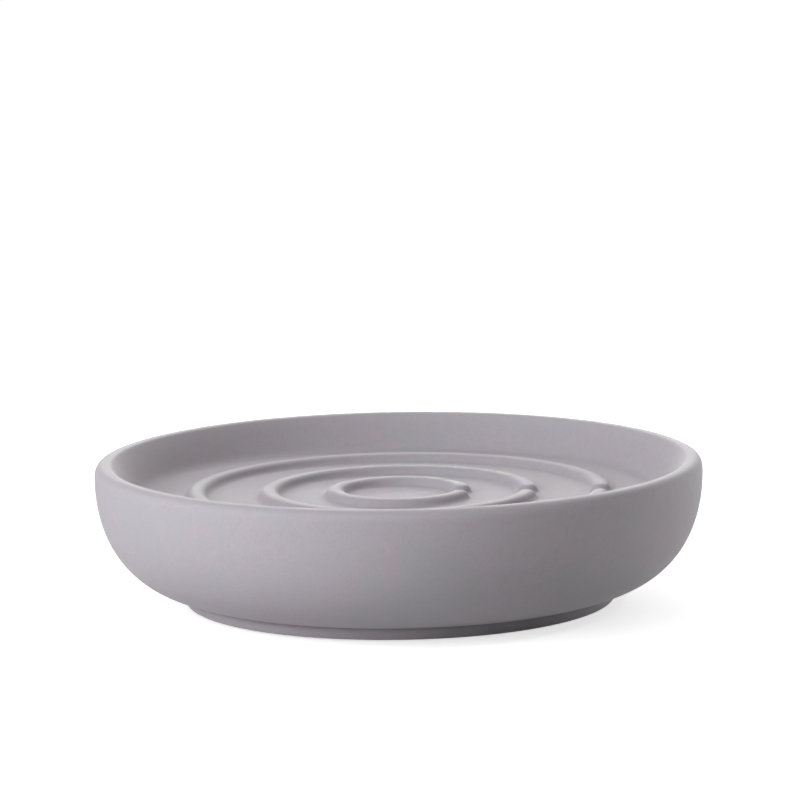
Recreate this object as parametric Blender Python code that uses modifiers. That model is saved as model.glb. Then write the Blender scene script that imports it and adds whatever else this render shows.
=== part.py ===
"""A round stoneware soap dish with a ridged tray and four anti-slip pads.

Units are metres, +Z is up, and the origin is the centre of the surface that the dish stands on.
The gaps in the ridges face +X.
"""

import math

import bmesh
import bpy
from mathutils import Matrix, Vector

MM = 0.001

# Outer form of the body. Heights are above the face of the foot ring.
WIDEST_RADIUS = 60.0 * MM
WIDEST_HEIGHT = 25.2 * MM
RIM_HEIGHT = 28.1 * MM
RIM_CREST_INSET = 2.7 * MM
RIM_FULLNESS = 3.1
RIM_INNER_ROUNDING = 1.1 * MM

# The curve of the outer wall, from the foot ring up to the widest point.
BELLY_START_ANGLE = math.radians(9.4)
BELLY_START_PULL = 11.8 * MM
BELLY_END_PULL = 10.9 * MM

# The tray that holds the soap.
TRAY_DEPTH = 7.1 * MM
TRAY_WALL_LEAN = math.radians(35.0)
TRAY_CORNER_ROUNDING = 3.0 * MM
TRAY_DISHING = 0.35 * MM

# The three ridges on the tray floor, each a C open towards +X. A crest is broad and slightly crowned, and
# rounds over to the flanks at its edges.
RIDGE_RADII = {"inner": 12.6 * MM, "middle": 25.6 * MM, "outer": 40.0 * MM}
RIDGE_HEIGHT = 1.6 * MM
RIDGE_CROWN_RADIUS = 5.0 * MM
RIDGE_CROWN_SLOPE = math.radians(10.0)
RIDGE_CREST_ROUNDING = 1.3 * MM
RIDGE_ROOT_ROUNDING = 1.1 * MM
RIDGE_STEEPEST_FLANK = math.radians(62.0)
RIDGE_GAP = 1.2 * MM
RIDGE_SINK = 0.05 * MM
RIDGE_ROOT_DEPTH = 1.5 * MM

# The foot ring and the recessed base inside it.
FOOT_RADIUS = 43.1 * MM
FOOT_HEIGHT = 2.5 * MM
FOOT_DRAFT = math.radians(18.0)
FOOT_RING_WIDTH = 5.0 * MM
FOOT_EDGE_ROUNDING = 0.8 * MM
FOOT_CREASE_ROUNDING = 0.8 * MM
BASE_RECESS = 2.6 * MM
BASE_CORNER_ROUNDING = 1.0 * MM

# The anti-slip pads.
PAD_RADIUS = 5.0 * MM
PAD_STANDS_PROUD = 0.4 * MM
PAD_EDGE_ROUNDING = 0.7 * MM
PAD_SIDE_TAPER = 0.3 * MM
PAD_SEAT_DEPTH = 0.8 * MM
PAD_SEAT_CLEARANCE = 0.3 * MM
PAD_SEAT_TO_CORNER = 0.4 * MM
PAD_PLACES = {
    "foot_pad_front_right": math.radians(-45.0),
    "foot_pad_back_right": math.radians(45.0),
    "foot_pad_back_left": math.radians(135.0),
    "foot_pad_front_left": math.radians(-135.0),
}

# How finely the curves are divided.
BODY_STEPS = 72
PAD_STEPS = 24
BELLY_POINTS = 10
RIM_POINTS = 7
ROUNDING_POINTS = 3
ROOT_POINTS = 2
RIDGE_STEP_LENGTH = 3.0 * MM
RIDGE_END_STEPS = 8

# Points closer than this are one point.
SAME_POINT = 0.001 * MM

# Heights above the standing surface.
FOOT_FACE_Z = PAD_STANDS_PROUD
RIM_Z = FOOT_FACE_Z + RIM_HEIGHT
WIDEST_Z = FOOT_FACE_Z + WIDEST_HEIGHT
TRAY_FLOOR_Z = RIM_Z - TRAY_DEPTH
BASE_Z = FOOT_FACE_Z + BASE_RECESS


def clear_scene():
    """Remove whatever the startup file holds."""
    for obj in list(bpy.data.objects):
        bpy.data.objects.remove(obj, do_unlink=True)


def new_collection(name):
    """Make a collection in the scene."""
    collection = bpy.data.collections.new(name)
    bpy.context.scene.collection.children.link(collection)
    return collection


def on_circle(centre, radius, angle):
    """Return the point of a circle in the (radius, height) plane."""
    return Vector((centre[0] + radius * math.cos(angle), centre[1] + radius * math.sin(angle)))


def arc_points(centre, radius, start, end, count):
    """Return count + 1 points along an arc, both ends included."""
    angles = [start + (end - start) * i / count for i in range(count + 1)]
    return [on_circle(centre, radius, angle) for angle in angles]


def bezier_points(start, start_pull, end_pull, end, count):
    """Return count + 1 points along a cubic Bezier curve, both ends included."""
    points = []
    for i in range(count + 1):
        t = i / count
        u = 1.0 - t
        near = start * u**3 + start_pull * (3.0 * u * u * t)
        far = end_pull * (3.0 * u * t * t) + end * t**3
        points.append(near + far)
    return points


def rounded_corner(before, corner, after, radius, count):
    """Return the points of the arc that rounds a corner of a profile."""
    back = (before - corner).normalized()
    ahead = (after - corner).normalized()
    half_angle = math.acos(max(-1.0, min(1.0, back.dot(ahead)))) / 2.0
    reach = radius / math.tan(half_angle)
    first = corner + back * reach
    last = corner + ahead * reach
    centre = corner + (back + ahead).normalized() * (radius / math.sin(half_angle))
    start = math.atan2(first.y - centre.y, first.x - centre.x)
    end = math.atan2(last.y - centre.y, last.x - centre.x)
    if end - start > math.pi:
        end -= 2.0 * math.pi
    if end - start < -math.pi:
        end += 2.0 * math.pi
    return arc_points(centre, radius, start, end, count)


def tray_floor_z(radius):
    """Return the height of the tray floor, which dips a little towards its middle."""
    return TRAY_FLOOR_Z - TRAY_DISHING * (1.0 - radius / tray_corner_radius())


def rim_edge_centre():
    """Return the centre of the rounding on the rim's inner edge."""
    return Vector((WIDEST_RADIUS - RIM_CREST_INSET, RIM_Z - RIM_INNER_ROUNDING))


def tray_wall_top():
    """Return the point where the leaning tray wall runs into the rim's inner rounding."""
    return on_circle(rim_edge_centre(), RIM_INNER_ROUNDING, math.pi - TRAY_WALL_LEAN)


def tray_corner_radius():
    """Return the radius at which the tray wall would meet the floor with no rounding."""
    top = tray_wall_top()
    return top.x - (top.y - TRAY_FLOOR_Z) * math.tan(TRAY_WALL_LEAN)


def tray_profile():
    """Return the tray from the middle of its floor out and up to the top of its wall."""
    middle = Vector((0.0, tray_floor_z(0.0)))
    corner = Vector((tray_corner_radius(), TRAY_FLOOR_Z))
    top = tray_wall_top()
    floor = [Vector((radius, tray_floor_z(radius))) for radius in sorted(RIDGE_RADII.values())]
    rounding = rounded_corner(middle, corner, top, TRAY_CORNER_ROUNDING, ROUNDING_POINTS)
    return [middle] + floor + rounding


def rim_profile():
    """Return the rim from its inner edge over the crest and out to the widest point."""
    centre = rim_edge_centre()
    start = math.pi - TRAY_WALL_LEAN
    inner = arc_points(centre, RIM_INNER_ROUNDING, start, math.pi / 2.0, ROUNDING_POINTS)
    across = RIM_CREST_INSET
    up = RIM_Z - WIDEST_Z
    power = 2.0 / RIM_FULLNESS
    outer = []
    for i in range(1, RIM_POINTS + 1):
        angle = math.pi / 2.0 * (1.0 - i / RIM_POINTS)
        outward = centre.x + across * abs(math.cos(angle)) ** power
        height = WIDEST_Z + up * abs(math.sin(angle)) ** power
        outer.append(Vector((outward, height)))
    return inner + outer


def foot_crease():
    """Return the point where the outer wall meets the foot ring."""
    return Vector((FOOT_RADIUS, FOOT_FACE_Z + FOOT_HEIGHT))


def belly_profile():
    """Return the outer wall from just under the widest point down to just above the foot."""
    crease = foot_crease()
    rise = Vector((math.cos(BELLY_START_ANGLE), math.sin(BELLY_START_ANGLE)))
    widest = Vector((WIDEST_RADIUS, WIDEST_Z))
    curve = bezier_points(
        crease,
        crease + rise * BELLY_START_PULL,
        widest - Vector((0.0, BELLY_END_PULL)),
        widest,
        BELLY_POINTS,
    )
    return curve[-2:0:-1]


def foot_ring_edges():
    """Return the outer and inner edge of the face that the foot ring ends in."""
    outer = Vector((FOOT_RADIUS - FOOT_HEIGHT * math.tan(FOOT_DRAFT), FOOT_FACE_Z))
    return outer, outer - Vector((FOOT_RING_WIDTH, 0.0))


def recess_corner():
    """Return the point where the wall of the recess would meet the base with no rounding."""
    inner = foot_ring_edges()[1]
    return Vector((inner.x - BASE_RECESS * math.tan(FOOT_DRAFT), BASE_Z))


def flat_base_radius():
    """Return the radius of the flat part of the recessed base."""
    corner_turn = math.pi / 2.0 - FOOT_DRAFT
    return recess_corner().x - BASE_CORNER_ROUNDING * math.tan(corner_turn / 2.0)


def foot_profile(last_of_belly):
    """Return the foot ring and the recessed base, from the crease in to the axis."""
    crease = foot_crease()
    outer, inner = foot_ring_edges()
    ceiling = recess_corner()
    middle = Vector((0.0, BASE_Z))
    points = rounded_corner(last_of_belly, crease, outer, FOOT_CREASE_ROUNDING, ROUNDING_POINTS)
    points += rounded_corner(crease, outer, inner, FOOT_EDGE_ROUNDING, ROUNDING_POINTS)
    points += rounded_corner(outer, inner, ceiling, FOOT_EDGE_ROUNDING, ROUNDING_POINTS)
    points += rounded_corner(inner, ceiling, middle, BASE_CORNER_ROUNDING, ROUNDING_POINTS)
    points.append(Vector((pad_circle_radius(), BASE_Z)))
    points.append(middle)
    return points


def turned_object(name, profile, steps, collection):
    """Make a turned solid from (radius, height) points that start and end on the axis."""
    mesh = bpy.data.meshes.new(name)
    corners = [(point.x, 0.0, point.y) for point in profile]
    edges = [(i, i + 1) for i in range(len(corners) - 1)]
    mesh.from_pydata(corners, edges, [])
    obj = bpy.data.objects.new(name, mesh)
    collection.objects.link(obj)
    screw = obj.modifiers.new("Turn", "SCREW")
    screw.axis = "Z"
    screw.angle = 2.0 * math.pi
    screw.steps = steps
    screw.render_steps = steps
    screw.use_merge_vertices = True
    screw.merge_threshold = SAME_POINT
    screw.use_smooth_shade = True
    return obj


def ridge_flank_angle():
    """Return the slope of a ridge's flank, which is gentler where the roundings meet first."""
    crown_drop = RIDGE_CROWN_RADIUS * (1.0 - math.cos(RIDGE_CROWN_SLOPE))
    roundings = RIDGE_CREST_ROUNDING * math.cos(RIDGE_CROWN_SLOPE) + RIDGE_ROOT_ROUNDING
    below_crown = RIDGE_HEIGHT + RIDGE_SINK - crown_drop
    meeting_slope = (roundings - below_crown) / (RIDGE_CREST_ROUNDING + RIDGE_ROOT_ROUNDING)
    return min(RIDGE_STEEPEST_FLANK, math.acos(max(-1.0, min(1.0, meeting_slope))))


def ridge_crest():
    """Return half of a ridge's crest, from its middle to the top of its flank, as section points."""
    up = math.pi / 2.0
    edge = up - RIDGE_CROWN_SLOPE
    crown_centre = Vector((0.0, RIDGE_HEIGHT - RIDGE_CROWN_RADIUS))
    crown_edge = on_circle(crown_centre, RIDGE_CROWN_RADIUS, edge)
    rounding_centre = on_circle(crown_edge, -RIDGE_CREST_ROUNDING, edge)
    middle = Vector((0.0, RIDGE_HEIGHT))
    return [middle] + arc_points(
        rounding_centre, RIDGE_CREST_ROUNDING, edge, up - ridge_flank_angle(), ROUNDING_POINTS
    )


def ridge_half_width():
    """Return the distance from a ridge's centre line to the edge of its root."""
    flank = ridge_flank_angle()
    flank_top = ridge_crest()[-1]
    flank_foot_z = RIDGE_ROOT_ROUNDING * (1.0 - math.cos(flank)) - RIDGE_SINK
    straight_rise = flank_top.y - flank_foot_z
    return flank_top.x + straight_rise / math.tan(flank) + RIDGE_ROOT_ROUNDING * math.sin(flank)


def ridge_half_section():
    """Return half of a ridge's cross-section as (distance from its centre line, height) points."""
    flank = ridge_flank_angle()
    half_width = ridge_half_width()
    root_centre = (half_width, RIDGE_ROOT_ROUNDING - RIDGE_SINK)
    down = -math.pi / 2.0
    root = arc_points(root_centre, RIDGE_ROOT_ROUNDING, down - flank, down, ROOT_POINTS)
    skirt = [Vector((half_width, -RIDGE_ROOT_DEPTH)), Vector((0.0, -RIDGE_ROOT_DEPTH))]
    return ridge_crest() + root + skirt


def ridge_ends(radius):
    """Return the angles at which a ridge's centre line starts and ends."""
    half_gap = (RIDGE_GAP / 2.0 + ridge_half_width()) / radius
    return half_gap, 2.0 * math.pi - half_gap


def spin(bm, geometry, centre, angle, steps):
    """Sweep geometry about an upright axis and return the last copy of it."""
    swept = bmesh.ops.spin(
        bm,
        geom=geometry,
        cent=centre,
        axis=(0.0, 0.0, 1.0),
        dvec=(0.0, 0.0, 0.0),
        angle=angle,
        space=Matrix.Identity(4),
        steps=steps,
        use_merge=False,
        use_normal_flip=False,
        use_duplicate=False,
    )
    return swept["geom_last"]


def ridge_form(name, radius, collection):
    """Make one C-shaped ridge with rounded ends, for joining to the tray floor."""
    first, last = ridge_ends(radius)
    floor = tray_floor_z(radius)
    start = Vector((radius * math.cos(first), radius * math.sin(first), floor))
    end = Vector((radius * math.cos(last), radius * math.sin(last), floor))
    inward = -Vector((math.cos(first), math.sin(first), 0.0))

    bm = bmesh.new()
    section = [bm.verts.new(start + inward * s + Vector((0, 0, z))) for s, z in ridge_half_section()]
    inner_half = section + [bm.edges.new(pair) for pair in zip(section, section[1:])]
    outer_half = spin(bm, inner_half, start, math.pi, RIDGE_END_STEPS)
    sweep_steps = round((last - first) * radius / RIDGE_STEP_LENGTH)
    spin(bm, inner_half, (0.0, 0.0, 0.0), last - first, sweep_steps)
    outer_end = spin(bm, outer_half, (0.0, 0.0, 0.0), last - first, sweep_steps)
    spin(bm, outer_end, end, math.pi, RIDGE_END_STEPS)
    bmesh.ops.remove_doubles(bm, verts=bm.verts, dist=SAME_POINT)
    bmesh.ops.recalc_face_normals(bm, faces=bm.faces)

    mesh = bpy.data.meshes.new(name)
    bm.to_mesh(mesh)
    bm.free()
    mesh.shade_smooth()
    obj = bpy.data.objects.new(name, mesh)
    collection.objects.link(obj)
    return obj


def pad_seat_cutter(name, angle, collection):
    """Make the cylinder that cuts one pad's seat into the base."""
    mesh = bpy.data.meshes.new(name)
    bm = bmesh.new()
    bmesh.ops.create_cone(
        bm,
        cap_ends=True,
        segments=PAD_STEPS,
        radius1=pad_seat_radius(),
        radius2=pad_seat_radius(),
        depth=2.0 * PAD_SEAT_DEPTH,
    )
    bm.to_mesh(mesh)
    bm.free()
    obj = bpy.data.objects.new(name, mesh)
    obj.location = pad_place(angle, BASE_Z)
    collection.objects.link(obj)
    return obj


def hide_tool(obj):
    """Mark an object as a tool for Booleans, which is not itself a part."""
    obj.hide_render = True
    obj.display_type = "WIRE"


def add_boolean(obj, operation, tool):
    """Join another object to this one, or cut it away."""
    modifier = obj.modifiers.new(tool.name, "BOOLEAN")
    modifier.operation = operation
    modifier.solver = "EXACT"
    modifier.object = tool
    hide_tool(tool)


def pad_seat_radius():
    """Return the radius of the seat that a pad is pressed into."""
    return PAD_RADIUS + PAD_SEAT_CLEARANCE


def pad_circle_radius():
    """Return how far the pads' axes are from the dish's axis: as far out as the base's corner lets them."""
    return flat_base_radius() - PAD_SEAT_TO_CORNER - pad_seat_radius()


def pad_place(angle, height):
    """Return the place of a pad's axis at a height."""
    reach = pad_circle_radius()
    return Vector((reach * math.cos(angle), reach * math.sin(angle), height))


def pad_profile():
    """Return a pad from the middle of its top out and down to the middle of its foot."""
    top = BASE_Z + PAD_SEAT_DEPTH - PAD_SEAT_CLEARANCE
    upper = Vector((PAD_RADIUS, top))
    lower = Vector((PAD_RADIUS - PAD_SIDE_TAPER, 0.0))
    middle = Vector((0.0, 0.0))
    rounding = rounded_corner(upper, lower, middle, PAD_EDGE_ROUNDING, ROUNDING_POINTS)
    return [Vector((0.0, top)), upper] + rounding + [middle]


def simple_material(name, colour, roughness):
    """Make a material of one colour that is not a metal."""
    material = bpy.data.materials.new(name)
    material.use_nodes = True
    shader = material.node_tree.nodes["Principled BSDF"]
    shader.inputs["Base Color"].default_value = (*colour, 1.0)
    shader.inputs["Roughness"].default_value = roughness
    shader.inputs["Metallic"].default_value = 0.0
    return material


def matt_stoneware():
    """Mauve-grey stoneware with a matt, soft finish."""
    return simple_material("matt_mauve_grey_stoneware", (0.41, 0.39, 0.41), 0.62)


def grey_silicone():
    """Translucent-looking grey silicone, for the pads."""
    return simple_material("grey_silicone", (0.30, 0.29, 0.31), 0.50)


def build_body(parts, tools):
    """Build the turned body, join its ridges and cut the pads' seats."""
    belly = belly_profile()
    profile = tray_profile() + rim_profile() + belly + foot_profile(belly[-1])
    body = turned_object("dish_body", profile, BODY_STEPS, parts)
    for place, radius in RIDGE_RADII.items():
        add_boolean(body, "UNION", ridge_form(f"{place}_ridge_form", radius, tools))
    for pad_name, angle in PAD_PLACES.items():
        add_boolean(body, "DIFFERENCE", pad_seat_cutter(f"{pad_name}_seat", angle, tools))
    body.data.materials.append(matt_stoneware())
    return body


def build_pads(parts):
    """Build the four pads, each turned about its own axis."""
    silicone = grey_silicone()
    pads = []
    for name, angle in PAD_PLACES.items():
        pad = turned_object(name, pad_profile(), PAD_STEPS, parts)
        pad.location = pad_place(angle, 0.0)
        pad.data.materials.append(silicone)
        pads.append(pad)
    return pads


def main():
    """Build the soap dish."""
    clear_scene()
    parts = new_collection("soap_dish")
    tools = new_collection("soap_dish_tools")
    root = bpy.data.objects.new("soap_dish_origin", None)
    parts.objects.link(root)
    for piece in [build_body(parts, tools)] + build_pads(parts):
        piece.parent = root


main()
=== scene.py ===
"""The looks of a round stoneware soap dish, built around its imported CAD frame.

Lengths are metres, +Z is up, and the gaps in the ridges face +X, as in the CAD. Sizes are written
in millimetres times MM. The photograph's camera stands in front, a little to the right of -Y.
"""

import logging
import math
from collections.abc import Iterable, Sequence
from dataclasses import dataclass, field
from enum import Enum
from functools import cached_property

import bmesh
import bpy
from mathutils import Matrix, Vector, noise


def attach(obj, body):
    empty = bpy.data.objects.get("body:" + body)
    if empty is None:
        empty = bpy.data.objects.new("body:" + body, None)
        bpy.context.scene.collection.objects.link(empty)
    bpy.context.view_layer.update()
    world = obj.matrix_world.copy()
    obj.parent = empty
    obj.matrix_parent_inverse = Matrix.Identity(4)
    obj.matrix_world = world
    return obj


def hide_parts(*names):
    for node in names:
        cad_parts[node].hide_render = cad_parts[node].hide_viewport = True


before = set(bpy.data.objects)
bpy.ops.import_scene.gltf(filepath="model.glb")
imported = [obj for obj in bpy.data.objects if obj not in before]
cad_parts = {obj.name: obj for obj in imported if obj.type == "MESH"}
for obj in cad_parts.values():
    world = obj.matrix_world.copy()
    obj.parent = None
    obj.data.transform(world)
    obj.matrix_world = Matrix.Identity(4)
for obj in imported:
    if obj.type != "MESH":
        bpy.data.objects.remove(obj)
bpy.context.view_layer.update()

MM = 0.001
LOG = logging.getLogger("soap_dish")
UP = Vector((0.0, 0.0, 1.0))
RIGHT_ANGLE = math.pi / 2.0
FULL_TURN = 2.0 * math.pi
# Vertices closer than this are one.
SAME_POINT = 0.0005 * MM
# Edges that turn by more than this stay sharp on a smooth-shaded piece.
SHARP_TURN = math.radians(35.0)
# A Mix node repeats its socket names for each kind of data, so those for colours go by number.
MIX_SHARE, MIX_UNDER, MIX_OVER, MIX_RESULT = 0, 6, 7, 2


class PadPlace(Enum):
    """The four places of the anti-slip pads, each with its angle about the dish's axis."""

    FRONT_RIGHT = -45.0
    BACK_RIGHT = 45.0
    BACK_LEFT = 135.0
    FRONT_LEFT = -135.0

    @property
    def label(self) -> str:
        """The place in lower case, as the CAD nodes spell it."""
        return self.name.lower()

    def at(self, reach: float, height: float) -> Vector:
        """Return the point at this place, at a distance from the axis and a height."""
        angle = math.radians(self.value)
        return Vector((reach * math.cos(angle), reach * math.sin(angle), height))


# Profiles, in the (radius, height) plane


def on_circle(centre: Vector, radius: float, angle: float) -> Vector:
    """Return the point of a circle at an angle."""
    return Vector((centre.x + radius * math.cos(angle), centre.y + radius * math.sin(angle)))


def arc_points(centre: Vector, radius: float, start: float, end: float, count: int) -> list[Vector]:
    """Return the count + 1 points of an arc from one angle to another, both ends included."""
    return [on_circle(centre, radius, start + (end - start) * i / count) for i in range(count + 1)]


def line_points(start: Vector, end: Vector, count: int) -> list[Vector]:
    """Return the count - 1 points strictly between the ends of a straight line."""
    return [start.lerp(end, i / count) for i in range(1, count)]


def bezier_points(knots: Sequence[Vector], count: int) -> list[Vector]:
    """Walk along a cubic Bezier curve.

    Args:
        knots: Its start, two pulls and end.
        count: Number of steps.

    Returns:
        count + 1 points, both ends included.
    """
    points = []
    for i in range(count + 1):
        t = i / count
        u = 1.0 - t
        weights = (u**3, 3.0 * u * u * t, 3.0 * u * t * t, t**3)
        pulls = (knot * weight for knot, weight in zip(knots, weights))
        points.append(sum(pulls, Vector((0.0, 0.0))))
    return points


def rounded_corner(
    before: Vector, corner: Vector, after: Vector, radius: float, count: int
) -> list[Vector]:
    """Round a corner of a profile with an arc.

    Args:
        before: A point on the line into the corner.
        corner: The corner itself.
        after: A point on the line out of it.
        radius: Radius of the rounding.
        count: Number of steps along the arc.

    Returns:
        The arc's points in the order of travel.
    """
    back = (before - corner).normalized()
    ahead = (after - corner).normalized()
    half_angle = math.acos(max(-1.0, min(1.0, back.dot(ahead)))) / 2.0
    reach = radius / math.tan(half_angle)
    centre = corner + (back + ahead).normalized() * (radius / math.sin(half_angle))
    first = corner + back * reach - centre
    last = corner + ahead * reach - centre
    start = math.atan2(first.y, first.x)
    turn = math.atan2(last.y, last.x) - start
    turn = (turn + math.pi) % FULL_TURN - math.pi
    return arc_points(centre, radius, start, start + turn, count)


# Meshes


def profile_edges(bm: bmesh.types.BMesh, profile: Sequence[Vector]) -> list:
    """Add a profile to a mesh as vertices joined by edges, in the XZ plane."""
    corners = [bm.verts.new((point.x, 0.0, point.y)) for point in profile]
    return corners + [bm.edges.new(pair) for pair in zip(corners, corners[1:])]


def spin(
    bm: bmesh.types.BMesh, geometry: list, angle: float, steps: int, closed: bool = False
) -> list:
    """Sweep geometry about the upright axis through the origin.

    Args:
        bm: The mesh.
        geometry: Vertices and edges to sweep.
        angle: How far to sweep.
        steps: Number of steps.
        closed: Whether the sweep is a full turn, whose end joins its start.

    Returns:
        The last copy of the geometry.
    """
    swept = bmesh.ops.spin(
        bm,
        geom=geometry,
        cent=(0.0, 0.0, 0.0),
        axis=UP,
        dvec=(0.0, 0.0, 0.0),
        angle=angle,
        space=Matrix.Identity(4),
        steps=steps,
        use_merge=closed,
        use_normal_flip=False,
        use_duplicate=False,
    )
    return swept["geom_last"]


def mesh_object(name: str, bm: bmesh.types.BMesh) -> bpy.types.Object:
    """Turn a finished bmesh into a smooth-shaded object at the origin.

    Args:
        name: Name of the piece.
        bm: The mesh, which is freed.

    Returns:
        The new object, linked to the scene.
    """
    mesh = bpy.data.meshes.new(name)
    bm.to_mesh(mesh)
    bm.free()
    mesh.shade_smooth()
    mesh.set_sharp_from_angle(angle=SHARP_TURN)
    piece = bpy.data.objects.new(name, mesh)
    bpy.context.scene.collection.objects.link(piece)
    return piece


# Finishes


def srgb(code: str) -> tuple[float, float, float, float]:
    """Turn an sRGB hex code into a linear colour.

    Args:
        code: The colour, such as "#a0b1c2".

    Returns:
        Red, green, blue and a full alpha.
    """
    shares = [int(code.lstrip("#")[i : i + 2], 16) / 255.0 for i in (0, 2, 4)]
    linear = [s / 12.92 if s <= 0.04045 else ((s + 0.055) / 1.055) ** 2.4 for s in shares]
    return (linear[0], linear[1], linear[2], 1.0)


def set_sockets(
    tree: bpy.types.NodeTree,
    node: bpy.types.Node,
    values: dict[str | int, object],
    links: dict[str | int, bpy.types.NodeSocket],
) -> None:
    """Set the inputs of a node.

    Args:
        tree: The node tree.
        node: The node.
        values: Socket values, by socket name or number.
        links: Sockets of other nodes to link into this one's, by socket name or number.
    """
    for socket, value in values.items():
        node.inputs[socket].default_value = value
    for socket, source in links.items():
        tree.links.new(source, node.inputs[socket])


def add_node(
    tree: bpy.types.NodeTree,
    kind: str,
    values: dict[str | int, object] | None = None,
    links: dict[str | int, bpy.types.NodeSocket] | None = None,
    **settings: object,
) -> bpy.types.Node:
    """Add a node to a tree.

    Args:
        tree: The node tree.
        kind: The node's type name.
        values: Socket values, by socket name or number.
        links: Sockets of other nodes to link into this one's, by socket name or number.
        **settings: The node's own settings.

    Returns:
        The new node.
    """
    node = tree.nodes.new(kind)
    for name, value in settings.items():
        setattr(node, name, value)
    set_sockets(tree, node, values or {}, links or {})
    return node


def new_material(name: str) -> tuple[bpy.types.Material, bpy.types.NodeTree, bpy.types.Node]:
    """Make a material with a Principled shader.

    Args:
        name: Its name.

    Returns:
        The material, its tree and its shader.
    """
    material = bpy.data.materials.new(name)
    material.use_nodes = True
    return material, material.node_tree, material.node_tree.nodes["Principled BSDF"]


def seen_rays(tree: bpy.types.NodeTree) -> bpy.types.NodeSocket:
    """Pick out the rays that show the white background.

    Args:
        tree: The node tree.

    Returns:
        A socket that is 1 for rays from the camera, a gloss or a clear material, and 0 for others.
    """
    rays = add_node(tree, "ShaderNodeLightPath").outputs
    seen = rays["Is Camera Ray"]
    for kind in ("Is Glossy Ray", "Is Transmission Ray"):
        either = {0: seen, 1: rays[kind]}
        seen = add_node(tree, "ShaderNodeMath", links=either, operation="MAXIMUM").outputs["Value"]
    return seen


@dataclass(frozen=True)
class GlazeCloud:
    """One layer of clouds in a glaze: patches of a size, where its colour turns to another tone.

    The noise that draws them runs from 0 to 1. The tone comes in at one value of it and is full
    higher up.
    """

    size: float
    comes_in: float
    is_full: float
    tone: str


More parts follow.
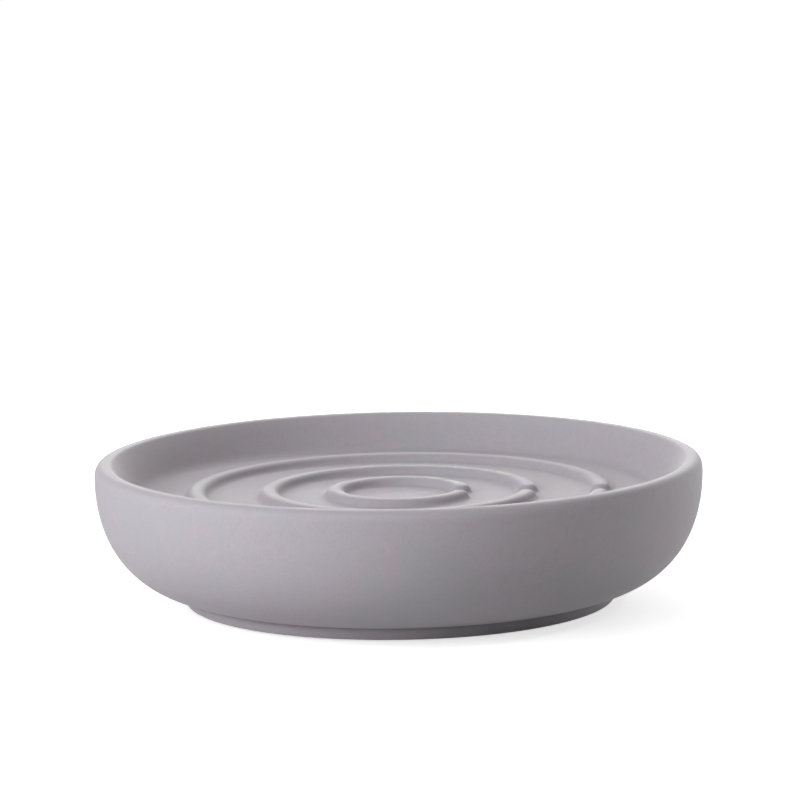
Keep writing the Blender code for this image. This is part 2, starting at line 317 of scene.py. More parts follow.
@dataclass(frozen=True)
class MattStoneware:
    """Stoneware under a matt mauve-grey glaze, dipped and fired.

    The glaze scatters light, so nothing mirrors in it and shade falls off softly. It clouds a
    little where it dried unevenly. It is paler on edges, where less glaze lies and where a
    highlight is painted on the rim and the ridge crests. It is darker in the crease over the foot,
    where glaze gathers and shade is painted. It has fine pinholes and pale specks.
    """

    glaze: str = "#aca6ac"
    # Cool where it dried thick, warm where it ran thin, then its mottling and its dark grain. The
    # real grain, 0.1 to 0.2 mm, is too fine to show, so it is drawn at 0.45 mm.
    clouds: tuple[GlazeCloud, ...] = (
        GlazeCloud(16.0 * MM, 0.42, 0.68, "#a8a6ab"),
        GlazeCloud(5.0 * MM, 0.46, 0.74, "#b0a5ac"),
        GlazeCloud(1.8 * MM, 0.42, 0.66, "#a9a5a9"),
        GlazeCloud(0.45 * MM, 0.45, 0.95, "#a29ba1"),
    )
    cloud_detail: float = 4.0
    # Paler tone on edges: thinner glaze, and a painted highlight on the rim and ridge crests.
    thin_edge_and_highlight: str = "#d0cccf"
    # Darker tone in the crease over the foot: gathered glaze, and painted shade.
    pooled_and_shade: str = "#8e888e"
    fleck: str = "#cfcacd"
    fleck_spacing: float = 3.4 * MM
    fleck_radius: float = 0.16 * MM
    pinhole: str = "#918b8f"
    pinhole_spacing: float = 5.2 * MM
    pinhole_radius: float = 0.2 * MM
    marked_cells: float = 0.22
    bare_clay: str = "#c9bfb6"
    roughness: float = 0.7
    roughness_drift: float = 0.06
    patch_size: float = 5.0 * MM
    ior: float = 1.5
    gloss: float = 0.16
    sheen: float = 0.12
    sheen_roughness: float = 0.3
    peel_size: float = 2.2 * MM
    peel_height: float = 0.03 * MM
    peel_strength: float = 0.6
    grain_size: float = 0.45 * MM
    grain_height: float = 0.02 * MM
    grain_strength: float = 0.5
    pinhole_depth: float = 0.05 * MM
    pinhole_strength: float = 0.7

    def material(self) -> bpy.types.Material:
        """Make the glaze: its colour, its uneven dullness and its relief.

        Returns:
            The material.
        """
        material, tree, shader = new_material("matt_glazed_stoneware")
        place = add_node(tree, "ShaderNodeTexCoord").outputs["Object"]
        holes = self.dots(tree, place, self.pinhole_spacing, self.pinhole_radius)
        scale = {"Scale": 1.0 / self.patch_size}
        patches = add_node(tree, "ShaderNodeTexNoise", scale, {"Vector": place})
        rough = add_node(
            tree,
            "ShaderNodeMapRange",
            {
                "To Min": self.roughness - self.roughness_drift,
                "To Max": self.roughness + self.roughness_drift,
            },
            {"Value": patches.outputs["Fac"]},
        )
        set_sockets(
            tree,
            shader,
            {
                "IOR": self.ior,
                "Specular IOR Level": self.gloss,
                "Sheen Weight": self.sheen,
                "Sheen Roughness": self.sheen_roughness,
            },
            {
                "Base Color": self.marked(tree, place, holes),
                "Roughness": rough.outputs["Result"],
                "Normal": self.relief(tree, place, holes),
            },
        )
        return material

    def marked(
        self, tree: bpy.types.NodeTree, place: bpy.types.NodeSocket, holes: bpy.types.NodeSocket
    ) -> bpy.types.NodeSocket:
        """Lay the marks over the clouded glaze: paler edges with painted highlights, a darker
        crease with painted shade, specks and bare clay.

        Args:
            tree: The node tree.
            place: Object coordinates.
            holes: The pinholes' mask.

        Returns:
            The glaze's colour.
        """
        thin_and_highlight, pooled_and_shade, bare = (
            add_node(tree, "ShaderNodeAttribute", attribute_name=name).outputs["Fac"]
            for name in ("thin_glaze_and_highlight", "pooled_glaze_and_shade", "bare_clay")
        )
        flecks = self.dots(tree, place, self.fleck_spacing, self.fleck_radius)
        colour = self.clouded(tree, place)
        # The paler tone paints highlights and the darker one paints shade, over real glaze marks.
        for share, tone in (
            (thin_and_highlight, self.thin_edge_and_highlight),
            (pooled_and_shade, self.pooled_and_shade),
            (flecks, self.fleck),
            (holes, self.pinhole),
            (bare, self.bare_clay),
        ):
            over = {MIX_OVER: srgb(tone)}
            under = {MIX_SHARE: share, MIX_UNDER: colour}
            laid = add_node(tree, "ShaderNodeMix", over, under, data_type="RGBA")
            colour = laid.outputs[MIX_RESULT]
        return colour

    def clouded(
        self, tree: bpy.types.NodeTree, place: bpy.types.NodeSocket
    ) -> bpy.types.NodeSocket:
        """Lay the clouds over the glaze, the slow ones first.

        Args:
            tree: The node tree.
            place: Object coordinates.

        Returns:
            The clouded colour.
        """
        under = {}
        for cloud in self.clouds:
            scale = {"Scale": 1.0 / cloud.size, "Detail": self.cloud_detail}
            patches = add_node(tree, "ShaderNodeTexNoise", scale, {"Vector": place})
            spread = add_node(
                tree,
                "ShaderNodeMapRange",
                {"From Min": cloud.comes_in, "From Max": cloud.is_full},
                {"Value": patches.outputs["Fac"]},
                interpolation_type="SMOOTHSTEP",
            )
            laid = add_node(
                tree,
                "ShaderNodeMix",
                {MIX_UNDER: srgb(self.glaze), MIX_OVER: srgb(cloud.tone)},
                {MIX_SHARE: spread.outputs["Result"]} | under,
                data_type="RGBA",
            )
            under = {MIX_UNDER: laid.outputs[MIX_RESULT]}
        return under[MIX_UNDER]

    def dots(
        self, tree: bpy.types.NodeTree, place: bpy.types.NodeSocket, spacing: float, radius: float
    ) -> bpy.types.NodeSocket:
        """Scatter small dots.

        Args:
            tree: The node tree.
            place: Object coordinates.
            spacing: Size of the cells that may each hold a dot.
            radius: Radius of a dot.

        Returns:
            A socket that is 1 in the dots and 0 between them.
        """
        scale = {"Scale": 1.0 / spacing}
        cells = add_node(tree, "ShaderNodeTexVoronoi", scale, {"Vector": place})
        reach = radius / spacing
        dot = add_node(
            tree,
            "ShaderNodeMapRange",
            {"From Min": reach / 2.0, "From Max": reach, "To Min": 1.0, "To Max": 0.0},
            {"Value": cells.outputs["Distance"]},
            interpolation_type="SMOOTHSTEP",
        )
        chosen = add_node(
            tree,
            "ShaderNodeMath",
            {1: self.marked_cells},
            {0: cells.outputs["Color"]},
            operation="LESS_THAN",
        )
        both = {0: dot.outputs["Result"], 1: chosen.outputs["Value"]}
        return add_node(tree, "ShaderNodeMath", links=both, operation="MULTIPLY").outputs["Value"]

    def relief(
        self, tree: bpy.types.NodeTree, place: bpy.types.NodeSocket, holes: bpy.types.NodeSocket
    ) -> bpy.types.NodeSocket:
        """Raise the glaze's soft peel and its grain, and sink its pinholes.

        Args:
            tree: The node tree.
            place: Object coordinates.
            holes: The pinholes' mask.

        Returns:
            The bumped normal.
        """
        peel, grain = (
            add_node(tree, "ShaderNodeTexNoise", {"Scale": 1.0 / size}, {"Vector": place})
            for size in (self.peel_size, self.grain_size)
        )
        under = {}
        for height, strength, reach, sunk in (
            (peel.outputs["Fac"], self.peel_strength, self.peel_height, False),
            (grain.outputs["Fac"], self.grain_strength, self.grain_height, False),
            (holes, self.pinhole_strength, self.pinhole_depth, True),
        ):
            values = {"Strength": strength, "Distance": reach}
            links = {"Height": height} | under
            bump = add_node(tree, "ShaderNodeBump", values, links, invert=sunk)
            under = {"Normal": bump.outputs["Normal"]}
        return under["Normal"]


@dataclass(frozen=True)
class GreySilicone:
    """Grey silicone rubber, moulded.

    It is dull and slightly cloudy, so light goes a little way into it. The grain of its mould,
    under 0.1 mm, is too fine to show, so it is drawn at 0.5 mm.
    """

    colour: str = "#8f8b90"
    ior: float = 1.41
    roughness: float = 0.48
    roughness_drift: float = 0.08
    cloudiness: float = 0.25
    depth: float = 0.6 * MM
    glow: tuple[float, float, float] = (1.0, 0.9, 0.9)
    grain_size: float = 0.5 * MM
    grain_height: float = 0.02 * MM
    grain_strength: float = 0.3

    def material(self) -> bpy.types.Material:
        """Make the silicone.

        Returns:
            The material.
        """
        material, tree, shader = new_material("moulded_grey_silicone")
        place = add_node(tree, "ShaderNodeTexCoord").outputs["Object"]
        scale = {"Scale": 1.0 / self.grain_size}
        grain = add_node(tree, "ShaderNodeTexNoise", scale, {"Vector": place}).outputs["Fac"]
        rough = add_node(
            tree,
            "ShaderNodeMapRange",
            {
                "To Min": self.roughness - self.roughness_drift,
                "To Max": self.roughness + self.roughness_drift,
            },
            {"Value": grain},
        )
        relief = {"Strength": self.grain_strength, "Distance": self.grain_height}
        bump = add_node(tree, "ShaderNodeBump", relief, {"Height": grain})
        set_sockets(
            tree,
            shader,
            {
                "Base Color": srgb(self.colour),
                "IOR": self.ior,
                "Subsurface Weight": self.cloudiness,
                "Subsurface Radius": self.glow,
                "Subsurface Scale": self.depth,
            },
            {"Roughness": rough.outputs["Result"], "Normal": bump.outputs["Normal"]},
        )
        return material


@dataclass(frozen=True)
class PaleFloor:
    """A plain pale studio floor under dull paint.

    The camera sees it as white, with the dish's own shadow on it. It is lifted to white a little
    more far from the dish, where the lamps don't reach.
    """

    colour: str = "#dadada"
    roughness: float = 0.9
    gloss: float = 0.0
    white: str = "#ffffff"
    lift_near: float = 0.68
    lift_far: float = 1.0
    near: float = 0.3
    far: float = 0.6

    def material(self) -> bpy.types.Material:
        """Make the floor's finish.

        Returns:
            The material.
        """
        material, tree, shader = new_material("pale_floor")
        place = add_node(tree, "ShaderNodeTexCoord").outputs["Object"]
        away = add_node(tree, "ShaderNodeVectorMath", links={0: place}, operation="LENGTH")
        lift = add_node(
            tree,
            "ShaderNodeMapRange",
            {
                "From Min": self.near,
                "From Max": self.far,
                "To Min": self.lift_near,
                "To Max": self.lift_far,
            },
            {"Value": away.outputs["Value"]},
            interpolation_type="SMOOTHSTEP",
        )
        shares = {0: seen_rays(tree), 1: lift.outputs["Result"]}
        strength = add_node(tree, "ShaderNodeMath", links=shares, operation="MULTIPLY")
        set_sockets(
            tree,
            shader,
            {
                "Base Color": srgb(self.colour),
                "Roughness": self.roughness,
                "Specular IOR Level": self.gloss,
                "Emission Color": srgb(self.white),
            },
            {"Emission Strength": strength.outputs["Value"]},
        )
        return material


# The dish


@dataclass(frozen=True)
class Ridge:
    """One C-shaped ridge on the tray floor, open towards +X.

    Its section has a slightly crowned crest, rounded edges, straight flanks and a fillet into the
    floor, and it is turned about both ends. Points of the section are (distance from the centre
    line, height).
    """

    radius: float
    height: float = 1.6 * MM
    crown_radius: float = 5.0 * MM
    crown_slope: float = math.radians(10.0)
    crest_rounding: float = 1.3 * MM
    root_rounding: float = 1.1 * MM
    flank_angle: float = math.radians(62.0)
    gap: float = 1.2 * MM
    arc_steps: int = 6

    @cached_property
    def crown_edge(self) -> float:
        """Distance from the centre line at which the crown turns over into its edge."""
        return self.crown_radius * math.sin(self.crown_slope)

    @cached_property
    def crest_centre(self) -> Vector:
        """Find the centre of the rounding on the crest's edge.

        Returns:
            The point of the section.
        """
        offset = self.crown_radius - self.crest_rounding
        across = offset * math.sin(self.crown_slope)
        up = self.height - self.crown_radius + offset * math.cos(self.crown_slope)
        return Vector((across, up))

    @cached_property
    def flank_top(self) -> Vector:
        """Top of the straight flank."""
        return on_circle(self.crest_centre, self.crest_rounding, RIGHT_ANGLE - self.flank_angle)

    @cached_property
    def half_width(self) -> float:
        """Find how wide the ridge is at its root.

        Returns:
            The distance from the centre line to the edge of the root.
        """
        foot_z = self.root_rounding * (1.0 - math.cos(self.flank_angle))
        straight = (self.flank_top.y - foot_z) / math.tan(self.flank_angle)
        return self.flank_top.x + straight + self.root_rounding * math.sin(self.flank_angle)

    @cached_property
    def end_angle(self) -> float:
        """Angle, from the middle of the gap, at which the centre line ends."""
        return (self.gap / 2.0 + self.half_width) / self.radius

    def section(self, away: float) -> float:
        """Measure the ridge's section.

        Args:
            away: Distance from the centre line.

        Returns:
            The height there, 0 past the root.
        """
        if away >= self.half_width:
            return 0.0
        if away <= self.crown_edge:
            return self.height - self.crown_radius + math.sqrt(self.crown_radius**2 - away**2)
        if away <= self.flank_top.x:
            centre = self.crest_centre
            return centre.y + math.sqrt(self.crest_rounding**2 - (away - centre.x) ** 2)
        from_root = self.half_width - away
        if from_root <= self.root_rounding * math.sin(self.flank_angle):
            return self.root_rounding - math.sqrt(self.root_rounding**2 - from_root**2)
        return self.flank_top.y - (away - self.flank_top.x) * math.tan(self.flank_angle)

    def rise(self, point: Vector) -> float:
        """Measure how far the ridge lifts the floor.

        Args:
            point: A point of the tray floor.

        Returns:
            The height above the floor, 0 away from the ridge.
        """
        angle = math.atan2(point.y, point.x)
        if abs(angle) >= self.end_angle:
            return self.section(abs(point.xy.length - self.radius))
        side = math.copysign(math.sin(self.end_angle), angle)
        end = Vector((math.cos(self.end_angle), side)) * self.radius
        return self.section((point.xy - end).length)

    def rings(self) -> list[float]:
        """Place the rings of the mesh that carry the ridge's roundings.

        Returns:
            Their radii, from the inside out.
        """
        shares = [i / self.arc_steps for i in range(self.arc_steps + 1)]
        turn = self.flank_angle - self.crown_slope
        slopes = [self.crown_slope + turn * share for share in shares[1:]]
        crown = [self.crown_edge * share for share in shares[::2]]
        edge = [self.crest_centre.x + self.crest_rounding * math.sin(slope) for slope in slopes]
        insets = [self.root_rounding * math.sin(self.flank_angle * share) for share in shares]
        root = [self.half_width - inset for inset in reversed(insets)]
        away = crown + edge + root
        inner = [self.radius - step for step in reversed(away[1:])]
        return inner + [self.radius + step for step in away]


@dataclass(frozen=True)
class DishBody:
    """The stoneware casting: bowl-shaped wall, thick rim, ridged tray, foot ring, recessed base."""

    # The rim, whose outer side is a superellipse.
    widest_radius: float = 60.0 * MM
    widest_height: float = 25.2 * MM
    rim_height: float = 28.1 * MM
    rim_crest_inset: float = 2.7 * MM
    rim_fullness: float = 3.1
    rim_inner_rounding: float = 1.1 * MM
    # The belly, a Bezier curve from the crease over the foot up to the widest point.
    belly_start_angle: float = math.radians(9.4)
    belly_start_pull: float = 11.8 * MM
    belly_end_pull: float = 10.9 * MM
    # The tray and its ridges.
    tray_depth: float = 7.1 * MM
    tray_wall_lean: float = math.radians(35.0)
    tray_corner_rounding: float = 3.0 * MM
    tray_dishing: float = 0.35 * MM
    ridges: tuple[Ridge, ...] = (Ridge(12.6 * MM), Ridge(25.6 * MM), Ridge(40.0 * MM))
    # The foot ring and the recessed base. The pads stand a little proud of the ring.
    foot_radius: float = 43.1 * MM
    foot_height: float = 2.5 * MM
    foot_draft: float = math.radians(18.0)
    foot_ring_width: float = 5.0 * MM
    foot_edge_rounding: float = 0.8 * MM
    foot_crease_rounding: float = 0.8 * MM
    base_recess: float = 2.6 * MM
    base_corner_rounding: float = 1.0 * MM
    stands_proud: float = 0.4 * MM
    # The pads' seats.
    seat_radius: float = 5.3 * MM
    seat_depth: float = 0.8 * MM
    seat_to_corner: float = 0.4 * MM
    seat_edge_rounding: float = 0.15 * MM
    # Paler tone, for thinner glaze and a painted highlight: on the top tenth of the ridges, and as
    # a line and a lip on the rim.
    thin_and_highlight_from: float = 0.9
    thin_and_highlight_on_crests: float = 0.35
    thin_and_highlight_on_rim: float = 0.32
    rim_line_depth: float = 0.11 * MM
    thin_and_highlight_on_lip: float = 0.08
    lip_depth: float = 2.4 * MM
    # The darker crease over the foot, gathered glaze and painted shade, and the wiped face of the
    # ring.
    pool_and_shade_width: float = 0.45 * MM
    wiped_height: float = 0.25 * MM
    # The hand's unevenness. It leaves the base alone up to over the seats, so that the pads fit.
    hand_finish: float = 0.05 * MM
    hand_finish_size: float = 24.0 * MM
    true_base_height: float = 1.0 * MM
    # Sectors of the spin, from the middle of the gap half way round: angle in degrees and steps.
    sectors: tuple[tuple[float, int], ...] = ((8.5, 28), (4.5, 9), (12.0, 15), (155.0, 124))
    floor_step: float = 1.4 * MM
    wall_steps: int = 6
    rounding_steps: int = 8
    rim_steps: int = 20
    belly_steps: int = 26
    foot_rounding_steps: int = 6
    foot_side_steps: int = 3
    foot_face_steps: int = 4
    seat_steps: int = 64
    seat_edge_steps: int = 2
    finish: MattStoneware = field(default_factory=MattStoneware)

    @cached_property
    def rim_z(self) -> float:
        """Height of the rim's crest above the standing surface."""
        return self.stands_proud + self.rim_height

    @cached_property
    def floor_z(self) -> float:
        """Height of the tray floor at its edge."""
        return self.rim_z - self.tray_depth

    @cached_property
    def base_z(self) -> float:
        """Height of the recessed base."""
        return self.stands_proud + self.base_recess

    @cached_property
    def widest_point(self) -> Vector:
        """Point where the belly turns over into the rim."""
        return Vector((self.widest_radius, self.stands_proud + self.widest_height))

    @cached_property
    def foot_crease(self) -> Vector:
        """Point where the belly would meet the foot ring with no rounding."""
        return Vector((self.foot_radius, self.stands_proud + self.foot_height))

    @cached_property
    def rim_edge_centre(self) -> Vector:
        """Centre of the rounding on the rim's inner edge."""
        radius = self.widest_radius - self.rim_crest_inset
        return Vector((radius, self.rim_z - self.rim_inner_rounding))

    @cached_property
    def wall_top(self) -> Vector:
        """Point where the leaning tray wall runs into the rim's inner rounding."""
        lean = math.pi - self.tray_wall_lean
        return on_circle(self.rim_edge_centre, self.rim_inner_rounding, lean)

    @cached_property
    def tray_corner(self) -> Vector:
        """Point where the tray wall would meet the floor with no rounding."""
        drop = self.wall_top.y - self.floor_z
        return Vector((self.wall_top.x - drop * math.tan(self.tray_wall_lean), self.floor_z))

    @cached_property
    def recess_corner(self) -> Vector:
        """Find where the wall of the recess would meet the base with no rounding.

        Returns:
            The point of the profile.
        """
        lean = math.tan(self.foot_draft)
        ring_inside = self.foot_radius - self.foot_height * lean - self.foot_ring_width
        return Vector((ring_inside - self.base_recess * lean, self.base_z))

    @cached_property
    def flat_base_radius(self) -> float:
        """Radius of the flat part of the recessed base."""
        half_corner = (RIGHT_ANGLE - self.foot_draft) / 2.0
        return self.recess_corner.x - self.base_corner_rounding * math.tan(half_corner)

    @cached_property
    def pad_reach(self) -> float:
        """Distance of the pads' axes from the dish's axis."""
        return self.flat_base_radius - self.seat_to_corner - self.seat_radius

    def floor_at(self, radius: float) -> float:
        """Return the height of the tray floor, which dips a little towards its middle."""
        return self.floor_z - self.tray_dishing * (1.0 - (radius / self.tray_corner.x) ** 2)

    def floor_rings(self) -> list[float]:
        """Place the rings of the tray floor, close on the ridges and wider between them.

        Returns:
            Their radii, from the middle out.
        """
        rings = [0.0]
        for radius in sorted(radius for ridge in self.ridges for radius in ridge.rings()):
            start = rings[-1]
            gap = radius - start
            steps = max(1, round(gap / self.floor_step))
            rings += [start + gap * i / steps for i in range(1, steps + 1)]
        return rings

    def tray_profile(self) -> list[Vector]:
        """Draw the tray.

        Returns:
            The profile from the middle of the floor out and up the wall.
        """
        floor = [Vector((radius, self.floor_at(radius))) for radius in self.floor_rings()]
        rounding = rounded_corner(
            floor[-1],
            self.tray_corner,
            self.wall_top,
            self.tray_corner_rounding,
            self.rounding_steps,
        )
        strip = line_points(floor[-1], rounding[0], self.wall_steps)
        return floor + strip + rounding + line_points(rounding[-1], self.wall_top, self.wall_steps)

    def rim_profile(self) -> list[Vector]:
        """Draw the rim.

        Returns:
            The profile from the inner edge over the crest and out to the widest point.
        """
        centre = self.rim_edge_centre
        lean = math.pi - self.tray_wall_lean
        points = arc_points(
            centre, self.rim_inner_rounding, lean, RIGHT_ANGLE, self.rounding_steps
        )
        power = 2.0 / self.rim_fullness
        for i in range(1, self.rim_steps + 1):
            angle = RIGHT_ANGLE * (1.0 - i / self.rim_steps)
            across = self.rim_crest_inset * abs(math.cos(angle)) ** power
            up = (self.rim_z - self.widest_point.y) * abs(math.sin(angle)) ** power
            points.append(Vector((centre.x + across, self.widest_point.y + up)))
        return points

    def belly_profile(self) -> list[Vector]:
        """Draw the outer wall.

        Returns:
            The profile from just under the widest point down to just above the foot.
        """
        crease = self.foot_crease
        widest = self.widest_point
        rise = Vector((math.cos(self.belly_start_angle), math.sin(self.belly_start_angle)))
        low_pull = crease + rise * self.belly_start_pull
        high_pull = widest - Vector((0.0, self.belly_end_pull))
        return bezier_points((crease, low_pull, high_pull, widest), self.belly_steps)[-2:0:-1]

    def foot_profile(self, last_of_belly: Vector) -> list[Vector]:
        """Draw the foot ring and the recess.

        Args:
            last_of_belly: Lowest point of the outer wall.

        Returns:
            The profile from the crease in to the flat of the base.
        """
        crease = self.foot_crease
        drop = self.foot_height * math.tan(self.foot_draft)
        outer = Vector((self.foot_radius - drop, self.stands_proud))
        inner = outer - Vector((self.foot_ring_width, 0.0))
        corner = self.recess_corner
        middle = Vector((0.0, self.base_z))
        creased, outside, inside, recessed = (
            rounded_corner(before, at, after, radius, self.foot_rounding_steps)
            for before, at, after, radius in (
                (last_of_belly, crease, outer, self.foot_crease_rounding),
                (crease, outer, inner, self.foot_edge_rounding),
                (outer, inner, corner, self.foot_edge_rounding),
                (inner, corner, middle, self.base_corner_rounding),
            )
        )
        side = line_points(creased[-1], outside[0], self.foot_side_steps)
        face = line_points(outside[-1], inner, self.foot_face_steps)
        return creased + side + outside + face + inside + recessed

    def turned(self) -> bmesh.types.BMesh:
        """Spin the profile all the way round, finely at the gaps in the ridges.

        Returns:
            The casting with a plain tray floor and an open base.
        """
        belly = self.belly_profile()
        profile = self.tray_profile() + self.rim_profile() + belly + self.foot_profile(belly[-1])
        bm = bmesh.new()
        copy = profile_edges(bm, profile)
        for degrees, steps in self.sectors + self.sectors[::-1]:
            copy = spin(bm, copy, math.radians(degrees), steps)
        bmesh.ops.remove_doubles(bm, verts=bm.verts, dist=SAME_POINT)
        return bm

    def thin_and_highlight_at_rim(self, depth: float) -> float:
        """Return the paler share under the rim's crest: less glaze and a painted highlight."""
        line = self.thin_and_highlight_on_rim * math.exp(-((depth / self.rim_line_depth) ** 2))
        return line + self.thin_and_highlight_on_lip * (1.0 - depth / self.lip_depth)

    def raise_ridges(self, bm: bmesh.types.BMesh) -> None:
        """Lift the tray floor into its ridges and mark the paler crests and rim, with painted
        highlights.

        Args:
            bm: The casting.
        """
        thin_and_highlight = bm.verts.layers.float.new("thin_glaze_and_highlight")
        flat_radius = self.tray_corner.x - self.tray_corner_rounding
        half_way_up = (self.base_z + self.floor_z) / 2.0
        for vert in bm.verts:
            depth = self.rim_z - vert.co.z
            if vert.co.xy.length < flat_radius and vert.co.z > half_way_up:
                rise = max(ridge.rise(vert.co) for ridge in self.ridges)
                vert.co.z += rise
                # Paler on the crests: thinner glaze and a painted highlight.
                share = (rise / self.ridges[0].height - self.thin_and_highlight_from) / (1.0 - self.thin_and_highlight_from)
                vert[thin_and_highlight] = max(0.0, share) * self.thin_and_highlight_on_crests
            elif depth < self.lip_depth:
                # Paler at the rim: thinner glaze and a painted highlight.
                vert[thin_and_highlight] = self.thin_and_highlight_at_rim(depth)

    def close_base(self, bm: bmesh.types.BMesh) -> None:
        """Fill the base round its four seats and sink the seats into it.

        Args:
            bm: The casting.
        """
        around = [edge for edge in bm.edges if edge.is_boundary]
        mouths = []
        for place in PadPlace:
            circle = bmesh.ops.create_circle(
                bm,
                cap_ends=False,
                radius=self.seat_radius,
                segments=self.seat_steps,
                matrix=Matrix.Translation(place.at(self.pad_reach, self.base_z)),
            )
            twice = (edge for vert in circle["verts"] for edge in vert.link_edges)
            mouths.append(list(dict.fromkeys(twice)))
        edges = [edge for mouth in mouths for edge in mouth]
        bmesh.ops.triangle_fill(bm, use_beauty=True, use_dissolve=False, edges=around + edges)
        for mouth in mouths:
            wall = bmesh.ops.extrude_edge_only(bm, edges=mouth)["geom"]
            top = [item for item in wall if isinstance(item, bmesh.types.BMVert)]
            bmesh.ops.translate(bm, verts=top, vec=UP * self.seat_depth)
            sides = [item for item in wall if isinstance(item, bmesh.types.BMEdge)]
            bmesh.ops.contextual_create(bm, geom=[edge for edge in sides if edge.is_boundary])
        bmesh.ops.bevel(
            bm,
            geom=edges,
            offset=self.seat_edge_rounding,
            affect="EDGES",
            segments=self.seat_edge_steps,
            profile=0.5,
            material=-1,
        )

    def mark_glaze(self, bm: bmesh.types.BMesh) -> None:
        """Mark the darker crease over the foot ring, gathered glaze and painted shade, and the
        wiped face.

        Args:
            bm: The casting.
        """
        pooled_and_shade = bm.verts.layers.float.new("pooled_glaze_and_shade")
        bare = bm.verts.layers.float.new("bare_clay")
        for vert in bm.verts:
            away = (Vector((vert.co.xy.length, vert.co.z)) - self.foot_crease).length
            # Darker in the crease over the foot: gathered glaze and painted shade.
            vert[pooled_and_shade] = math.exp(-((away / self.pool_and_shade_width) ** 2))
            vert[bare] = float(vert.co.z < self.stands_proud + self.wiped_height)

    def finish_by_hand(self, bm: bmesh.types.BMesh) -> None:
        """Take the machine-made truth off the surface, which sinks a little in slow waves.

        Args:
            bm: The casting.
        """
        bm.normal_update()
        moves = []
        for vert in bm.verts:
            over_base = vert.co.z > self.base_z + self.true_base_height
            if over_base or vert.co.xy.length > self.foot_radius:
                wave = noise.noise(vert.co / self.hand_finish_size)
                moves.append((vert, vert.normal * (self.hand_finish * (wave - 1.0) / 2.0)))
        for vert, move in moves:
            vert.co += move

    def build(self) -> bpy.types.Object:
        """Build the casting as one closed mesh.

        Returns:
            The piece, not yet dressed.
        """
        bm = self.turned()
        self.raise_ridges(bm)
        self.close_base(bm)
        self.mark_glaze(bm)
        bmesh.ops.recalc_face_normals(bm, faces=bm.faces)
        self.finish_by_hand(bm)
        bmesh.ops.recalc_face_normals(bm, faces=bm.faces)
        return mesh_object("stoneware_dish", bm)

    def dress(self, piece: bpy.types.Object) -> None:
        """Glaze the casting and let it stand for the CAD body.

        Args:
            piece: The casting.
        """
        piece.data.materials.append(self.finish.material())
        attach(piece, "root")
        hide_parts("dish_body")


@dataclass(frozen=True)
class FootPad:
    """A moulded anti-slip pad with a grip groove in its foot."""

    place: PadPlace
    reach: float
    radius: float = 5.0 * MM
    top_z: float = 3.5 * MM
    foot_z: float = 0.004 * MM
    side_taper: float = 0.3 * MM
    top_rounding: float = 0.15 * MM
    top_rounding_steps: int = 4
    edge_rounding: float = 0.7 * MM
    edge_rounding_steps: int = 8
    groove_radius: float = 2.9 * MM
    groove_width: float = 0.7 * MM
    groove_depth: float = 0.25 * MM
    groove_steps: int = 8
    steps: int = 96

    def profile(self) -> list[Vector]:
        """Draw the pad.

        Returns:
            The profile from the middle of its top out and down to the middle of its foot.
        """
        top = Vector((0.0, self.top_z))
        upper = Vector((self.radius, self.top_z))
        lower = Vector((self.radius - self.side_taper, self.foot_z))
        middle = Vector((0.0, self.foot_z))
        points = [top]
        points += rounded_corner(top, upper, lower, self.top_rounding, self.top_rounding_steps)
        points += rounded_corner(upper, lower, middle, self.edge_rounding, self.edge_rounding_steps)
        for i in range(self.groove_steps + 1):
            angle = math.pi * i / self.groove_steps
            across = self.groove_radius + self.groove_width / 2.0 * math.cos(angle)
            points.append(Vector((across, self.foot_z + self.groove_depth * math.sin(angle))))
        return points + [middle]

    def build(self) -> bpy.types.Object:
        """Spin the pad about its own axis and put it in its place.

        Returns:
            The piece, not yet dressed.
        """
        bm = bmesh.new()
        spin(bm, profile_edges(bm, self.profile()), FULL_TURN, self.steps, closed=True)
        bmesh.ops.remove_doubles(bm, verts=bm.verts, dist=SAME_POINT)
        bmesh.ops.recalc_face_normals(bm, faces=bm.faces)
        bmesh.ops.translate(bm, verts=bm.verts, vec=self.place.at(self.reach, 0.0))
        return mesh_object(f"silicone_pad_{self.place.label}", bm)

    def dress(self, piece: bpy.types.Object, silicone: bpy.types.Material) -> None:
        """Give the pad its silicone and let it stand for its CAD node.

        Args:
            piece: The pad.
            silicone: The material that the four pads share.
        """
        piece.data.materials.append(silicone)
        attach(piece, "root")
        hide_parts(f"foot_pad_{self.place.label}")


# The studio


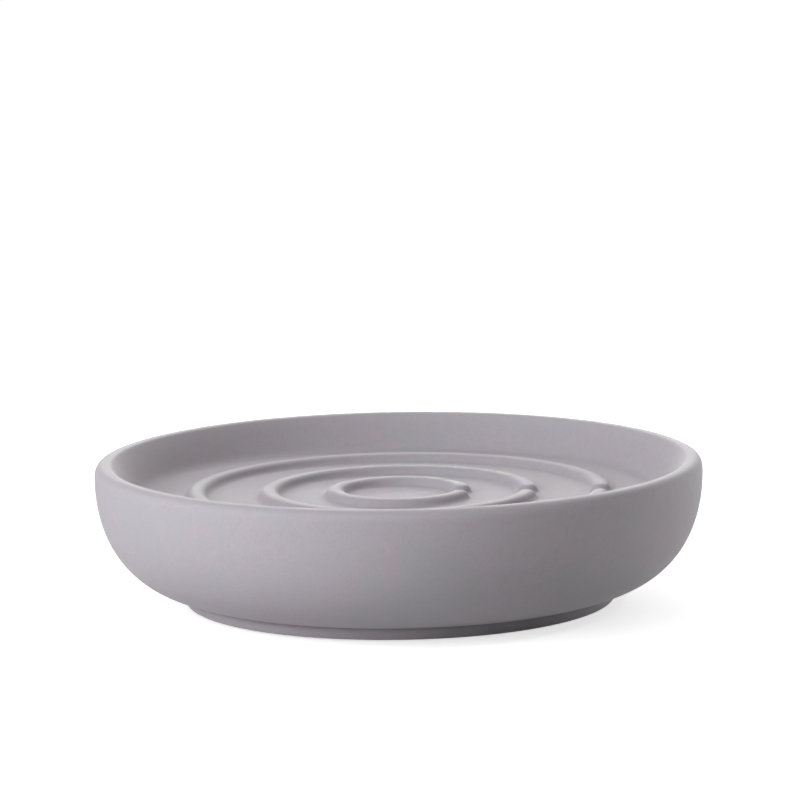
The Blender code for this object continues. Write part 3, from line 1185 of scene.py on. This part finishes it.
@dataclass(frozen=True)
class PhotoCamera:
    """The photograph's viewpoint: a long lens, about ten degrees above the rim.

    It stands on a circle about the dish, turned to the right by a few degrees, looks a little over
    the dish's middle and is rolled by under one degree. The focal length is in pixels of the frame.
    """

    distance: float = 1050.0 * MM
    elevation: float = math.radians(10.292)
    aim_up: float = math.radians(1.33)
    aim_right: float = math.radians(0.028)
    roll: float = math.radians(0.876)
    turn: float = math.radians(4.5)
    centre_z: float = 15.4 * MM
    focal_pixels: float = 5307.5
    frame_pixels: float = 800.0
    sensor: float = 36.0
    sees_from: float = 10.0 * MM
    sees_to: float = 20.0

    def placing(self) -> Matrix:
        """Work out where the camera stands and how it is turned.

        Returns:
            Its matrix.
        """
        tilt = self.elevation - self.aim_up
        ahead = Vector(
            (
                math.sin(self.aim_right) * math.cos(tilt),
                math.cos(self.aim_right) * math.cos(tilt),
                -math.sin(tilt),
            )
        )
        right = ahead.cross(UP).normalized()
        above = right.cross(ahead)
        rolled_right = right * math.cos(self.roll) - above * math.sin(self.roll)
        rolled_above = right * math.sin(self.roll) + above * math.cos(self.roll)
        matrix = Matrix((rolled_right, rolled_above, -ahead)).transposed().to_4x4()
        back = self.distance * math.cos(self.elevation)
        up = self.distance * math.sin(self.elevation) + self.centre_z
        matrix.translation = Vector((0.0, -back, up))
        return Matrix.Rotation(self.turn, 4, "Z") @ matrix

    def build(self) -> None:
        """Make the camera and give it to the scene."""
        camera = bpy.data.cameras.new("photo_camera")
        camera.sensor_width = self.sensor
        camera.lens = self.focal_pixels * self.sensor / self.frame_pixels
        camera.clip_start = self.sees_from
        camera.clip_end = self.sees_to
        rig = bpy.data.objects.new("photo_camera", camera)
        bpy.context.scene.collection.objects.link(rig)
        rig.matrix_world = self.placing()
        bpy.context.scene.camera = rig


@dataclass(frozen=True)
class SoftBox:
    """A soft area lamp that looks at the dish: a box, or a strip where it is much wider than high.

    Azimuth and elevation are degrees seen from the dish, the azimuth from the camera to the right.
    Lengths are metres, and the power is watts.
    """

    name: str
    azimuth: float
    elevation: float
    distance: float
    wide: float
    high: float
    power: float
    colour: str = "#ffffff"
    aim_height: float = 15.0 * MM

    def build(self, turn: float) -> None:
        """Hang the lamp.

        Args:
            turn: The camera's turn about the dish, which the lamps share.
        """
        lamp = bpy.data.lights.new(self.name, "AREA")
        lamp.shape = "RECTANGLE"
        lamp.size = self.wide
        lamp.size_y = self.high
        lamp.energy = self.power
        lamp.color = srgb(self.colour)[:3]
        rig = bpy.data.objects.new(self.name, lamp)
        bpy.context.scene.collection.objects.link(rig)
        across = math.radians(self.azimuth) + turn
        up = math.radians(self.elevation)
        level = math.cos(up)
        away = Vector((math.sin(across) * level, -math.cos(across) * level, math.sin(up)))
        place = Vector((0.0, 0.0, self.aim_height)) + away * self.distance
        turned = away.to_track_quat("Z", "Y").to_matrix().to_4x4()
        rig.matrix_world = Matrix.Translation(place) @ turned


@dataclass(frozen=True)
class Studio:
    """A white studio: a pale floor and soft lamps, the key ones at the left and a little cool.

    The lamps' powers are fitted to the photograph's tones. The world gives no light of its own.
    """

    floor_radius: float = 3.0
    floor_steps: int = 64
    floor: PaleFloor = field(default_factory=PaleFloor)
    white: str = "#ffffff"
    # Name, azimuth, elevation, distance, width, height, power and colour.
    lamps: tuple[SoftBox, ...] = (
        SoftBox("key_left", -60.0, 28.0, 0.7, 0.35, 0.30, 2.76, "#fafcff"),
        SoftBox("key_left_low", -60.0, 10.0, 0.7, 0.35, 0.12, 0.51, "#fafcff"),
        SoftBox("key_left_strip", -60.0, 3.0, 0.7, 0.35, 0.05, 0.72, "#fafcff"),
        SoftBox("front_left", -30.0, 28.0, 0.7, 0.35, 0.30, 1.31),
        SoftBox("front_right_high", 30.0, 48.0, 0.7, 0.35, 0.35, 0.29),
        SoftBox("right_small", 80.0, 38.0, 0.7, 0.08, 0.08, 0.65),
        SoftBox("right_strip", 120.0, 3.0, 0.7, 0.35, 0.05, 1.40),
        SoftBox("back_right", 150.0, 28.0, 0.7, 0.35, 0.30, 0.91),
        SoftBox("back_high", 180.0, 48.0, 0.7, 0.35, 0.35, 1.30),
        SoftBox("back_middle", 180.0, 28.0, 0.7, 0.35, 0.30, 0.64),
        SoftBox("back_low", 180.0, 10.0, 0.7, 0.35, 0.12, 1.49),
    )

    def lay_floor(self) -> None:
        """Lay the floor, which is part of the studio and not of the object."""
        bm = bmesh.new()
        bmesh.ops.create_circle(
            bm, cap_ends=True, radius=self.floor_radius, segments=self.floor_steps
        )
        ground = mesh_object("studio_floor", bm)
        ground.data.materials.append(self.floor.material())

    def paint_world(self) -> None:
        """Make the world white to the camera, gloss and clear things, and black as a light."""
        world = bpy.data.worlds.new("white_room")
        world.use_nodes = True
        tree = world.node_tree
        shown = {"Strength": seen_rays(tree)}
        set_sockets(tree, tree.nodes["Background"], {"Color": srgb(self.white)}, shown)
        bpy.context.scene.world = world

    def build(self, turn: float) -> None:
        """Set up the floor, the world and the lamps.

        Args:
            turn: The camera's turn about the dish, which the lamps share.
        """
        self.lay_floor()
        self.paint_world()
        for lamp in self.lamps:
            lamp.build(turn)
        bpy.context.scene.view_settings.view_transform = "Standard"


# The whole scene


def report(piece: bpy.types.Object) -> None:
    """Log a finished piece.

    Args:
        piece: The piece.
    """
    mesh = piece.data
    triangles = sum(len(face.vertices) - 2 for face in mesh.polygons)
    LOG.info("%s: %d vertices, %d triangles", piece.name, len(mesh.vertices), triangles)


def main() -> None:
    """Build the camera, the dish, its pads and the studio, and report each piece."""
    logging.basicConfig(level=logging.INFO, format="%(name)s: %(message)s")
    camera = PhotoCamera()
    camera.build()
    body = DishBody()
    piece = body.build()
    body.dress(piece)
    report(piece)
    silicone = GreySilicone().material()
    for place in PadPlace:
        pad = FootPad(place, body.pad_reach)
        piece = pad.build()
        pad.dress(piece, silicone)
        report(piece)
    Studio().build(camera.turn)


if __name__ == "__main__":
    main()
